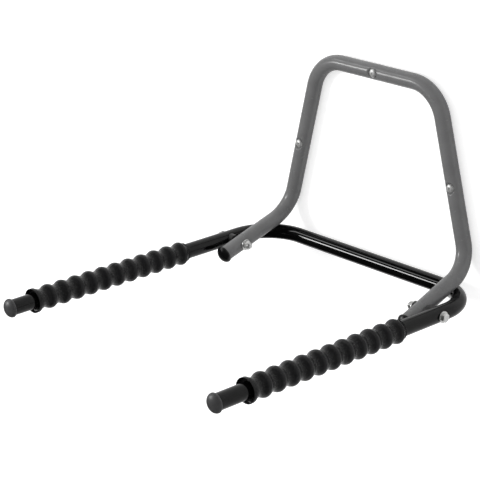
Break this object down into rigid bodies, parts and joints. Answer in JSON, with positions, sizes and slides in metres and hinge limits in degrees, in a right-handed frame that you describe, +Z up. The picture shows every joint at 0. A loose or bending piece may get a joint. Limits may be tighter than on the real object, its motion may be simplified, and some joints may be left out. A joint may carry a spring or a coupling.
{
  "type": "wall-mounted folding bike rack",
  "caption": "Bent-tube wall rack with padded arms that fold up flat against the wall; carries bicycles hung by the frame.",
  "frame": {"origin": "on the wall plane, behind the middle of the top screw hole", "axes": "+X along the wall to the right as seen from the room, +Y into the wall, +Z up; the arms point to -Y"},
  "size_m": [0.5034, 0.61, 0.3452],
  "materials": {
    "frame_paint": "satin grey powder coat",
    "carrier_paint": "gloss black powder coat",
    "sleeve": "satin black ribbed soft vinyl",
    "cap": "matte black moulded plastic",
    "zinc": "bright zinc plating",
    "spacer": "matte black nylon"
  },
  "bodies": {
    "wall_frame": {"wall_frame": "frame_paint", "leg_end_cap_left": "cap", "leg_end_cap_right": "cap", "pivot_bolt_left": "zinc", "pivot_bolt_right": "zinc", "outer_washer_left": "zinc", "outer_washer_right": "zinc", "inner_washer_left": "zinc", "inner_washer_right": "zinc", "pivot_nut_left": "zinc", "pivot_nut_right": "zinc", "wall_screw_top": "zinc", "wall_screw_left": "zinc", "wall_screw_right": "zinc"},
    "carrier": {"carrier_tube": "carrier_paint", "grip_sleeve_left": "sleeve", "grip_sleeve_right": "sleeve", "arm_end_cap_left": "cap", "arm_end_cap_right": "cap", "pivot_spacer_left": "spacer", "pivot_spacer_right": "spacer"}
  },
  "joints": [
    {"name": "carrier_fold", "type": "hinge", "parent": "wall_frame", "child": "carrier", "pos_m": [0, -0.1215, -0.3075], "axis": [-1, 0, 0], "range_deg": [0, 104]}
  ]
}
